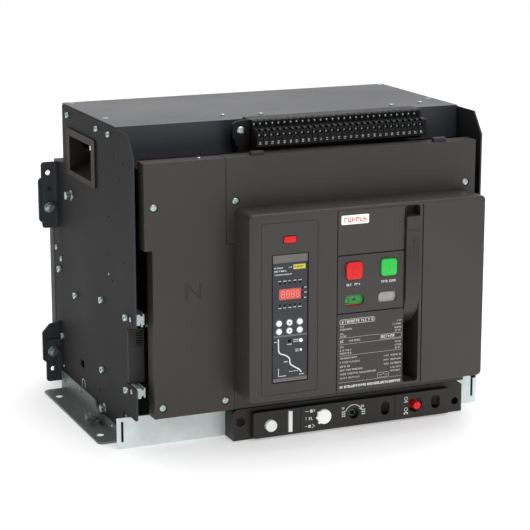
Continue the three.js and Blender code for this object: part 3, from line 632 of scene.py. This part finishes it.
SCREW = {
    "cover": mesh_of(master_cross(4.7, 1.5), "screw_cover", "screw"),
    "pan": mesh_of(master_cross(4.1, 2.2), "screw_pan", "screw"),
    "small": mesh_of(master_cross(2.6, 1.4), "screw_small", "screw"),
    "stand": mesh_of(master_cross(3.5, 2.6, depth=1.2), "screw_stand", "screw"),
    "tall": mesh_of(master_cross(4.3, 4.2, depth=1.3), "screw_tall", "screw"),
    "ear": mesh_of(master_cross(6.2, 2.6, depth=1.5), "screw_ear", "screw"),
    "well": mesh_of(master_cross(1.95, 1.0, 0.7, 0.7), "screw_well", "steeldim"),
    "flat": mesh_of(master_cross(4.2, 0.5), "screw_flat", "screw"),
    "tiny": mesh_of(master_cross(1.9, 0.9), "screw_tiny", "screw"),
    "hex": mesh_of(master_hex(6.6, 7.5, 8.1, 1.6), "bolt_hex", "screw"),
    "hexbig": mesh_of(master_hex(6.4, 10.0, 7.4, 2.4), "bolt_hexbig", "screw"),
    "stud": mesh_of(master_socket(5.0, 4.6), "stud_pem", "screw"),
    "stud2": mesh_of(master_socket(3.4, 1.6), "stud_small", "screw"),
}
_count = {}


def put(kind, pos, direction, body, spin=0.0):
    _count[kind] = _count.get(kind, 0) + 1
    ob = bpy.data.objects.new(f"{kind}_fastener_{_count[kind]:03d}", SCREW[kind])
    bpy.context.scene.collection.objects.link(ob)
    ob.matrix_world = frame_from(direction, pos) @ Matrix.Rotation(spin, 4, "Z")
    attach(ob, body)
    return ob


# covers
for x, z in ((24.7, 343.7), (34.1, 65.1), (125.9, 65.1), (142, 343.7), (493.5, 344.2)):
    put("cover", V(x, YC + 1.45, z), (0, -1, 0), "breaker", rnd.uniform(0, 1.5))
# top cover: four flat corner screws and four standing screw ends
for x, y in ((14, 309), (14.5, 153), (516.5, 309), (516.5, 148)):
    put("flat", V(x, y, 441.2), (0, 0, 1), "cradle", rnd.uniform(0, 1.5))
for x, y in ((172.2, 111), (226, 101), (432.8, 103.5), (483, 111)):
    put("stand", V(x, y, 441.2), (0, 0, 1), "cradle", rnd.uniform(0, 1.5))
put("small", V(95, 4, 403.6), (0, 0, 1), "breaker", 0.4)
# side plates
LEFT = [("tall", 284, 427.3), ("tall", 149, 427.3), ("tall", 96.7, 427.3), ("pan", 358, 216), ("pan", 334, 203),
        ("stud", 340, 186), ("stud", 262, 163), ("stud", 140, 185), ("stud", 34, 185.4), ("stud2", 16.4, 187),
        ("stud", 334, 83), ("stud", 141, 82.5), ("stud", 36.6, 82), ("stud2", 16.5, 85), ("hexbig", 274, 311),
        ("small", 334, 36), ("tiny", 108, 230), ("hex", 137.5, 25.4)]
for kind, y, z in LEFT:
    put(kind, V(0, y, z), (-1, 0, 0), "cradle", rnd.uniform(0, 1.5))
    put(kind, V(W, y, z), (1, 0, 0), "cradle", rnd.uniform(0, 1.5))
for kind, y, z in (("stud2", 323, 16.7), ("stud2", 241.4, 24.4), ("small", 97.1, 11.4)):
    put(kind, V(-3.3, y, z), (-1, 0, 0), "cradle", 0.4)
    put(kind, V(W + 3.3, y, z), (1, 0, 0), "cradle", 0.4)
for z in (280.8, 57.8):
    put("hex", V(-13.2, 345, z), (0, -1, 0), "cradle", 0.35)
    put("hex", V(W + 13.2, 345, z), (0, -1, 0), "cradle", 0.2)
put("ear", V(173, 46, 429.6), (0, -1, 0), "cradle", 0.7)

# =================================================================== fascia print and trims
F = front(YF)
tile = Marks("label_plate_white", "breaker", "white", F, "white", -0.02, 0.25)
tile.poly(rr(275.5, 316.8, 309.7, 322.4, 2.0))
tile.done()
mk = Marks("label_mark_orange", "breaker", "red", front(YF - 0.25), "orange")
for i_ in range(6):
    xa_ = 279.6 + 5.75 * i_
    mk.poly(rect(xa_, xa_ + 1.5, 312.7, 319.3))
    mk.poly(rect(xa_ + 1.55, xa_ + 4.7, (317.8, 312.7, 315.3)[i_ % 3], (319.3, 314.2, 316.8)[i_ % 3]))
    if i_ % 2:
        mk.poly(rect(xa_ + 3.2, xa_ + 4.7, (316.9, 314.3, 312.7)[i_ % 3] - 1.2, (317.7, 319.3, 315.2)[i_ % 3]))
mk.done()

ink = Marks("fascia_print", "breaker", "white", F, "ink")
for x0, x1 in ((284.2, 293.4), (296.2, 305.2), (336.8, 346.4), (349.2, 359.4)):
    ink.glyphs(x0, x1, 225.2, 3.3, 0.62, 0.2)
# rating header inside a rounded outline
ink.ring(rr(274.4, 327.8, 169.9, 176.9, 2.4), rr(274.85, 327.35, 170.35, 176.45, 2.0))
ink.glyphs(277.5, 325.5, 173.4, 3.9, 0.7)
ink.glyphs(275.2, 369, 80.3, 3.5, 0.75, 0.16)
ink.glyphs(338.5, 359, 146.3, 4.2, 0.75)
ink.done()
nm = Marks("nameplate_lines", "breaker", "white", F, "inkmid")
for z in (150.6, 141.5, 125.2, 86.8):
    nm.poly(rect(273.5, 335.5 if z == 150.6 else 370, z - 0.16, z + 0.16))
for z, w in ((162.6, 18), (156.4, 7), (152.9, 11.5), (137.9, 6), (132.9, 18), (128.5, 18), (121.5, 26), (115.6, 31), (109.8, 15.5), (104.4, 37), (98.7, 56), (93.0, 31)):
    nm.glyphs(275.2, 275.2 + w, z, 2.5, 0.42)
nm.glyphs(275.2, 283, 145.9, 4.0, 0.6)
nm.glyphs(275.2, 282.5, 166.9, 2.6, 0.45)
nm.glyphs(289, 308, 145.9, 2.5, 0.42)
for z, w in ((167.2, 7), (162.5, 14), (157.6, 11), (153.2, 10), (137.2, 10), (132.4, 10), (128.2, 9.5)):
    nm.glyphs(369.5 - w, 369.6, z, 2.4, 0.42)
nm.ring(rr(337, 369.7, 142.7, 150.0, 0.8), rr(337.4, 369.3, 143.1, 149.6, 0.5))
for z in (118.4, 112.3, 106.3):
    nm.glyphs(342.7, 350.6, z, 2.4, 0.42)
    nm.glyphs(353.2, 370, z, 2.4, 0.42)
for z in (100.5, 95.6):
    nm.glyphs(353.2, 370, z, 2.2, 0.4)
# rounded box with a simple break-contact symbol
nm.ring(rr(332.8, 350.6, 88.0, 95.0, 2.0), rr(333.2, 350.2, 88.4, 94.6, 1.7))
nm.line([(335, 91.5), (339, 91.5)], 0.5)
nm.line([(339.4, 91.6), (343.6, 93.4)], 0.5)
nm.line([(344.2, 91.5), (348.4, 91.5)], 0.5)
nm.done()

# painted shade: dark strips set just inside the fascia grooves darken the gaps between its panels
jl = Marks("fascia_groove_painted_shade", "breaker", "rear", front(YF + 0.8), "dark", -0.02, 0.3)
for z in (266.1, 184.2):
    jl.poly(rect(271.0, 371.6, z, z + 1.1))
jl.done()
jv = Marks("fascia_upright_groove_painted_shade", "breaker", "rear", front(YF + 1.2), "dark", -0.02, 0.4)
jv.poly(rect(269.6, 270.7, 76, 328.9))
jv.done()
jr = Marks("fascia_right_groove_painted_shade", "breaker", "rear", front(YF + 1.6), "dark", -0.02, 0.3)
jr.poly(rect(399.6, 400.5, 76, 329.0))
jr.done()

# OFF and ON symbols moulded on the caps
so = Marks("off_symbol", "off_button", "red", front(-66.4), "reddark")
so.ring(circ(295.4, 244.9, 5.7, 36), circ(295.4, 244.9, 4.6, 36))
so.done()
si = Marks("on_symbol", "on_button", "green", front(-66.4), "greenemb")
si.poly(rr(346.6, 348.2, 239.2, 251.4, 0.4))
si.done()
fl = Marks("contact_symbol", "contact_flag", "green", front(-58.6), "dark", -0.02, 0.03)
fl.ring(circ(286.4, 201.6, 4.0), circ(286.4, 201.6, 3.3))
fl.words(294.2, 301.0, 203.2, 3.2, 1.0, 1.6)
fl.done()
fl = Marks("contact_symbol_red", "contact_flag", "red", front(-58.6), "reddark", -0.02, 0.03)
fl.poly(rect(278.6, 313.4, 177, 196.3))
fl.done()
fl = Marks("contact_symbol_bar", "contact_flag", "white", front(-58.63), "ink", -0.02, 0.03)
fl.poly(rr(285.6, 287.0, 181.5, 191.5, 0.3))
fl.done()
fl = Marks("spring_symbol", "spring_flag", "white", front(-58.6), "inkgrey", -0.02, 0.03)
for dz in (0.0, -16.0):
    fl.line([(341, 199.0 + dz), (342.6, 206.0 + dz), (344.4, 199.0 + dz), (346.2, 206.0 + dz), (348.0, 199.0 + dz), (349.8, 206.0 + dz), (351.4, 199.0 + dz)], 0.55)
fl.done()

# =================================================================== trip unit face
TY = -60.8
T = front(TY)
bars = Marks("trip_bars", "breaker", "slate", T, "bargrey", -0.02, 0.5)
bars.poly(rr(175.1, 226.2, 264.8, 275.6, 0.5))
bars.poly(rr(175.1, 226.2, 98.5, 103.4, 0.5))
bars.poly(rr(175.9, 226.2, 161.5, 164.0, 0.4))
bars.done()
yl = Marks("trip_label_yellow", "breaker", "white", T, "yellow", -0.02, 0.12)
yl.poly(rr(205.4, 223.2, 254.6, 261.2, 0.5))
yl.done()
t = Marks("trip_label_print", "breaker", "slate", front(TY - 0.12), "panel")
t.glyphs(207, 222, 257.9, 2.6, 0.5)
t.done()
ds = Marks("trip_display", "breaker", "red", T, "display", -0.02, 0.3)
ds.poly(rr(184.4, 216.3, 213.4, 228.2, 0.8))
ds.done()
seg = Marks("trip_digits", "breaker", "red", front(TY - 0.3), "digit")
def seven(mk, x, z, w, h, on, t=0.9):
    xs, zs = (x, x + w), (z, z + h / 2, z + h)
    S = {"a": ((xs[0], zs[2]), (xs[1], zs[2])), "g": ((xs[0], zs[1]), (xs[1], zs[1])), "d": ((xs[0], zs[0]), (xs[1], zs[0])),
         "f": ((xs[0], zs[1]), (xs[0], zs[2])), "b": ((xs[1], zs[1]), (xs[1], zs[2])), "e": ((xs[0], zs[0]), (xs[0], zs[1])), "c": ((xs[1], zs[0]), (xs[1], zs[1]))}
    for k in on:
        (ax, az), (bx, bz) = S[k]
        if az == bz:
            mk.poly([(ax + t * .6, az - t / 2), (bx - t * .6, az - t / 2), (bx - t * .1, az), (bx - t * .6, az + t / 2), (ax + t * .6, az + t / 2), (ax + t * .1, az)])
        else:
            mk.poly([(ax - t / 2, az + t * .6), (ax, az + t * .1), (ax + t / 2, az + t * .6), (ax + t / 2, bz - t * .6), (ax, bz - t * .1), (ax - t / 2, bz - t * .6)])
for i in range(4):
    seven(seg, 188.0 + 7.2 * i, 216.4, 4.2, 9.0, "abcdefg", 0.6)
seg.done()
tk = Marks("trip_print", "breaker", "white", T, "ink")
tk.glyphs(177.4, 191, 257.9, 1.9, 0.36)
tk.glyphs(177.4, 195, 253.4, 2.3, 0.5)
tk.glyphs(177.4, 203, 248.5, 1.8, 0.34)
tk.glyphs(198.6, 204.2, 257.9, 1.8, 0.34)
for zr in (239.4, 202.1):
    for i in range(5):
        tk.words(183.4 + 7.36 * i, 188.0 + 7.36 * i, zr, 1.2, 1.0, 0.9)
for zr in (228.2, 221.3, 214.1):
    tk.words(221.4, 225.6, zr, 1.2, 1.0, 0.9)
# trip curve and its axes
def arc_pts(pts, n=4):
    out = []
    for i in range(len(pts) - 1):
        p0 = pts[max(i - 1, 0)]; p1 = pts[i]; p2 = pts[i + 1]; p3 = pts[min(i + 2, len(pts) - 1)]
        for k in range(n):
            u = k / n
            out.append(tuple(0.5 * (2 * b + (c - a) * u + (2 * a - 5 * b + 4 * c - d) * u * u + (3 * b - a - 3 * c + d) * u ** 3) for a, b, c, d in zip(p0, p1, p2, p3)))
    return out + [pts[-1]]
curve = Marks("trip_curve", "breaker", "white", T, "ink")
curve.line([(183.5, 159.1), (183.6, 152)] + arc_pts([(183.8, 143), (186, 138.7), (195.6, 134.4), (200.2, 129.6), (201.6, 122.1), (213.6, 114)], 4) + [(217.9, 109.4)], 1.8)
curve.done()
tk.line([(183.8, 115.6), (183.8, 106.4), (193.0, 106.4)], 0.8)
tk.poly([(182.9, 115.4), (184.7, 115.4), (183.8, 117.8)])
tk.poly([(192.8, 105.5), (192.8, 107.3), (195.2, 106.4)])
for i in range(6):
    tk.poly(rect(199.4 + 2.4 * i, 201.0 + 2.4 * i, 111.4, 112.2))
tk.words(177.4, 181.8, 155.2, 1.5, 1.0, 1.1)
tk.words(191.6, 197.6, 126.3, 1.5, 1.0, 1.1)
tk.words(214.8, 222.0, 106.6, 1.5, 1.0, 1.1)
tk.words(196.4, 203.4, 150.4, 1.4, 1.0, 1.0)
for z, xa in ((156.0, 205.8), (153.4, 205.8), (142.4, 208.7), (139.9, 208.7)):
    tk.words(xa, 213.6, z, 1.4, 1.0, 1.0)
tk.done()
tb = Marks("trip_white_buttons", "breaker", "white", T, "white", -0.02, 0.9)
tb.poly(circ(216.6, 154.7, 2.7, 24))
tb.poly(circ(216.6, 141.2, 1.7, 24))
tb.done()
td = Marks("trip_dark_socket", "breaker", "slate", T, "dark", -0.02, 0.15)
td.poly(circ(199.8, 155.2, 2.4, 24))
td.done()
KX, KZ = (184.3, 199.7, 215.0), (181.0, 169.5)
kr = Marks("trip_key_icons", "breaker", "slate", T, "inkgrey")
for x in KX:
    for z in KZ:
        kr.ring(circ(x, z, 5.3), circ(x, z, 4.9))
kr.done()
for i, (x, z) in enumerate([(x, z) for z in KZ for x in KX]):
    mid = i % 3 == 1
    m = Marks(f"key_icon_{i+1}", f"trip_key_{i+1}", "slate", front(-61.9), "slate" if mid else "inkkey")
    if mid:
        m.poly(circ(x, z, 1.3, 20))
    else:
        m.ring(circ(x, z, 2.1, 24), circ(x, z, 1.85, 24))
    m.done()
ld = bmesh.new()
for zr in (236.4, 205.6):
    for i in range(5):
        add_lathe(ld, [(0, -0.1), (1.4, -0.1), (1.4, 0.25), (1.0, 0.6), (0, 0.75)], frame_from((0, -1, 0), V(185.7 + 7.36 * i, TY, zr)), 14)
for zr in (228.2, 221.3, 214.1):
    add_lathe(ld, [(0, -0.1), (1.2, -0.1), (1.2, 0.25), (0.8, 0.6), (0, 0.75)], frame_from((0, -1, 0), V(219.1, TY, zr)), 14)
finish_bm("trip_leds", ld, "dark", "breaker")

# =================================================================== neutral letter
text_mesh([("N", 80, 223)], front(YC), 36, "breaker", "panel", "neutral_letter", 0.12)

# charging handle: moulded outline and direction mark
hm = Marks("handle_emboss", "charging_handle", "cover", front(-67), "panel", -0.02, 0.12)
hm.ring(rr(379.0, 389.6, 254.5, 286.5, 1.6), rr(379.35, 389.25, 254.85, 286.15, 1.3))
hm.line([(384.3, 258.5), (384.3, 279.5)], 0.9)
hm.poly([(384.3, 284.0), (381.6, 278.5), (387.0, 278.5)])
hm.done()

# =================================================================== racking panel marks
R = front(-10)
# painted shade: dark strips just behind the racking panel face darken its two part lines
pj = Marks("racking_panel_painted_shade_lines", "cradle", "rear", front(-9.4), "dark", -0.02, 0.35)
pj.poly(rect(239.85, 240.55, 4, 40.4)); pj.poly(rect(387.95, 388.65, 4, 40.4))
pj.done()
rk = Marks("racking_print", "cradle", "white", R, "ink")
# three position icons: connected, test and isolated, as plug symbols
rk.poly(rect(246.8, 252.8, 33.0, 33.7))
rk.poly(circ(256.5, 33.3, 2.5, 20))
rk.line([(259.8, 35.4), (262.3, 33.3), (259.8, 31.2)], 0.7)
rk.poly(rect(247.0, 249.6, 24.0, 24.6)); rk.poly(rect(248.0, 248.6, 20.6, 23.9))
rk.glyphs(252.6, 261.2, 22.2, 4.6, 1.05, 0.16)
rk.poly(rect(246.9, 250.2, 10.6, 11.3))
rk.poly(circ(253.7, 10.9, 2.3, 20))
rk.line([(257.6, 14.0), (261.2, 10.9), (257.6, 7.8)], 0.8)
# draw-out direction arrow over the racking socket, with two small tables
arc = [(322.4 + 13.0 * math.cos(math.radians(a)), 21.4 + 13.0 * math.sin(math.radians(a))) for a in range(158, 25, -7)]
rk.line(arc, 1.15)
e = arc[-1]
rk.poly([(e[0] + 1.6, e[1] - 3.0), (e[0] - 2.4, e[1] - 0.6), (e[0] + 1.9, e[1] + 2.0)])
rk.glyphs(303.6, 309.6, 30.6, 3.4, 0.75, 0.16)
rk.glyphs(334.2, 340.6, 30.8, 3.4, 0.75, 0.16)
for xa in (304.0, 335.4):
    for z in (25.6, 22.4, 19.2):
        rk.poly(rect(xa, xa + 2.3, z - 0.9, z + 0.9)); rk.poly(rect(xa + 3.0, xa + 5.3, z - 0.9, z + 0.9))
# padlock symbols: pressed and released
for z, op in ((33.0, 0), (16.8, 1)):
    rk.ring(circ(406.2, z, 2.9, 24), circ(406.2, z, 2.1, 24))
    rk.poly(rr(402.9, 409.5, z - 5.6, z - 4.4, 0.3))
    rk.poly(rect(405.7, 406.7, z - 4.2 - 0.1, z - 3.1))
    if op:
        rk.poly(rect(402.9, 404.6, z - 7.6, z - 5.8)); rk.poly(rect(407.8, 409.5, z - 7.6, z - 5.8))
rk.done()

# =================================================================== secondary terminal block
NT, TX0, PITCH = 28, 191.2, 9.14
for i in range(NT):
    xc = TX0 + PITCH * i
    put("well", V(xc - 0.35, 23.55, 425.2), (0, -1, 0), "cradle", rnd.uniform(0, 1.5))
    put("well", V(xc - 0.35, 41.55, 437.6), (0, -1, 0), "cradle", rnd.uniform(0, 1.5))
text_mesh([(f"{i + 1:02d}", TX0 + PITCH * i, 414.6) for i in range(NT)], front(20), 4.6, "cradle", "ink", "terminal_numbers", 0.05, math.pi / 2)

# =================================================================== small trims
# painted shade: dark sheets just behind the two slots of the zinc cross member darken what is seen through them
si = Marks("cross_member_slot_painted_shade", "cradle", "rear", front(32.2), "dark", -0.5, -0.02)
si.poly(rect(-13.2, -7.8, 9, 40)); si.poly(rect(W + 7.8, W + 13.2, 9, 40))
si.done()
# dark-red moulded rib along the top of the pole housing's front shelf
tr = Marks("housing_top_rib", "breaker", "thermoset", top_face(392), "thermored", -0.02, 1.4)
tr.poly(rr(14, W - 14, 44, 99, 2.0))
tr.done()
# dark-red moulded cheek at the left end of the pole housing's front shelf
for nm_, mx in (("left", left_face(12.6)),):
    ck = Marks("housing_cheek_" + nm_, "breaker", "thermoset", mx, "thermored", -0.02, 0.3)
    ck.poly(rect(18, 100, 374, 390))
    ck.done()
# painted light: glowing bright rings lining the fixing holes of the base rails stand in for the white floor seen
# through the holes
bs = bmesh.new()
for x in (-22.7, W + 22.7):
    for y in (288, 91.5):
        add_lathe(bs, [(4.7, 0.05), (5.15, 0.05), (5.15, 3.12), (4.7, 3.12), (4.7, 0.05)], frame_from((0, 0, 1), V(x, y, 0)), 32)
finish_bm("rail_hole_painted_light_rings", bs, "zincbright", "cradle")
# plain washers pressed into the side plates above the base rails
wb = bmesh.new()
for x, sgn in ((0.0, -1), (W, 1)):
    add_lathe(wb, [(6.8, -0.1), (8.2, -0.1), (8.2, 0.35), (7.9, 0.5), (7.1, 0.5), (6.8, 0.35), (6.8, -0.1)], frame_from((sgn, 0, 0), V(x, 236, 34.6)), 40)
finish_bm("plate_rings", wb, "screw", "cradle")

# =================================================================== stage
def area(name, loc, target, size, power, color=(1, 1, 1)):
    li = bpy.data.lights.new(name, "AREA")
    li.shape = "RECTANGLE"
    li.size, li.size_y = size
    li.energy = power
    li.color = color
    ob = bpy.data.objects.new(name, li)
    bpy.context.scene.collection.objects.link(ob)
    ob.matrix_world = Matrix.Translation(loc) @ (Vector(target) - Vector(loc)).to_track_quat("-Z", "Y").to_matrix().to_4x4()
    return ob


floor_bm = bmesh.new()
bmesh.ops.create_grid(floor_bm, x_segments=1, y_segments=1, size=14.0)
fme = bpy.data.meshes.new("floor")
floor_bm.to_mesh(fme)
floor_bm.free()
floor = bpy.data.objects.new("floor", fme)
floor.location = (0, 0, -0.0004)
bpy.context.scene.collection.objects.link(floor)
fm, fnt, fb = new_mat("m_floor")
fb.inputs["Base Color"].default_value = (0.92, 0.92, 0.92, 1)
fb.inputs["Emission Color"].default_value = (1, 1, 1, 1)
fb.inputs["Emission Strength"].default_value = 0.36
fb.inputs["Roughness"].default_value = 0.9
fb.inputs["Specular IOR Level"].default_value = 0.1
fme.materials.append(fm)

world = bpy.data.worlds.new("studio")
world.use_nodes = True
bg = world.node_tree.nodes["Background"]
bg.inputs[0].default_value = (1, 1, 1, 1)
wnt = world.node_tree
wtc = wnt.nodes.new("ShaderNodeTexCoord")
wsep = wnt.nodes.new("ShaderNodeSeparateXYZ")
wnt.links.new(wtc.outputs["Generated"], wsep.inputs[0])
def wmath(op, a, b):
    m = wnt.nodes.new("ShaderNodeMath")
    m.operation = op
    for sock, val in ((m.inputs[0], a), (m.inputs[1], b)):
        if isinstance(val, float):
            sock.default_value = val
        else:
            wnt.links.new(val, sock)
    return m.outputs[0]
# bright behind and above, quieter in front and on the left
wy = maprange(wnt, wsep.outputs[1], -0.2, 0.8, 0.0, 0.42)
wz = maprange(wnt, wsep.outputs[2], 0.0, 0.9, 0.0, 0.25)
wx = maprange(wnt, wsep.outputs[0], -1.0, 0.2, 0.0, 0.34)
wnt.links.new(wmath("ADD", wmath("ADD", wy, wz), wmath("ADD", wx, 0.11)), bg.inputs[1])
bpy.context.scene.world = world
area("key", (0.5, -2.6, 2.0), (0, 0, 0.2), (1.6, 1.2), 24)
area("top", (0.4, 0.5, 2.4), (0, 0, 0.3), (1.8, 1.8), 24)
bpy.context.scene.view_settings.view_transform = "Standard"
bpy.context.scene.view_settings.look = "None"

cam = bpy.data.cameras.new("camera")
cam.lens = 126.95
cam.sensor_width = 36.0
cam.clip_start, cam.clip_end = 0.05, 50
cob = bpy.data.objects.new("camera", cam)
bpy.context.scene.collection.objects.link(cob)
yaw, pitch = math.radians(23.07), math.radians(13.35)
fwd = Vector((math.sin(yaw) * math.cos(pitch), math.cos(yaw) * math.cos(pitch), -math.sin(pitch)))
cob.matrix_world = Matrix.Translation(V(-788.9, -2297.6, 841.3)) @ fwd.to_track_quat("-Z", "Y").to_matrix().to_4x4()
bpy.context.scene.camera = cob
